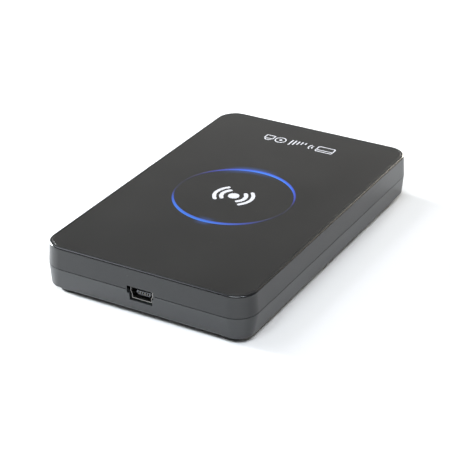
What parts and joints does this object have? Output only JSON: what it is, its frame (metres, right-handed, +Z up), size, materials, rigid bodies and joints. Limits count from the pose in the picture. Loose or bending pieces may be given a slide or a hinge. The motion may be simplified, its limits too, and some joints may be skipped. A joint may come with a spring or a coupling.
{
  "type": "rfid card reader",
  "caption": "Flat desktop RFID card reader: two-part dark grey case, inset face panel with a blue-lit crescent ring, Mini-B socket in one short side.",
  "frame": {"origin": "middle of the footprint, on the surface that the feet stand on", "axes": "+Z up through the face panel; +Y along the long side, away from the socket; +X across the short side"},
  "size_m": [0.07, 0.1128, 0.0155],
  "materials": {
    "cover_plastic": "satin moulded, slightly bluish dark grey",
    "panel_plastic": "satin, very fine grain",
    "tape": "double-sided film tape",
    "blue_window": "translucent, lit blue from below",
    "white_print": "screen print",
    "clear_plastic": "clear moulded, frosted underside",
    "white_plastic": "white reflector plastic",
    "black_plastic": "moulded black",
    "foot_rubber": "soft black rubber",
    "screw_steel": "zinc plated",
    "label_film": "blank silver-grey film",
    "board_laminate": "green solder mask",
    "shell_steel": "nickel plated stamping",
    "grey_plastic": "moulded dark grey",
    "gold_plate": "gold plated",
    "led_body": "white package, clear blue-lit lens",
    "copper_wire": "enamelled copper",
    "amber_tape": "polyimide tape",
    "solder": "bright tin",
    "amber_plastic": "moulded tantalum body",
    "ceramic": "tan ceramic, tinned ends"
  },
  "bodies": {
    "root": {"top_cover": "cover_plastic", "bottom_cover": "cover_plastic", "face_panel": "panel_plastic", "panel_tape": "tape", "ring_window": "blue_window", "emblem_print": "white_print", "legend_print": "white_print", "light_ring": "clear_plastic", "centre_baffle": "black_plastic", "reflector_ring": "white_plastic", "rubber_feet": "foot_rubber", "case_screws": "screw_steel", "base_label": "label_film", "main_board": "board_laminate", "board_screws": "screw_steel", "usb_shell": "shell_steel", "usb_insulator": "grey_plastic", "usb_contacts": "gold_plate", "ring_leds": "led_body", "antenna_coil": "copper_wire", "coil_ties": "amber_tape", "coil_leads": "copper_wire", "coil_solder": "solder", "controller_chip": "black_plastic", "controller_pins": "solder", "radio_chip": "black_plastic", "radio_pins": "solder", "crystal": "shell_steel", "voltage_regulator": "black_plastic", "esd_clamp": "black_plastic", "buzzer": "black_plastic", "storage_capacitors": "amber_plastic", "power_choke": "black_plastic", "chip_capacitors": "ceramic", "chip_resistors": "black_plastic"}
  },
  "joints": []
}
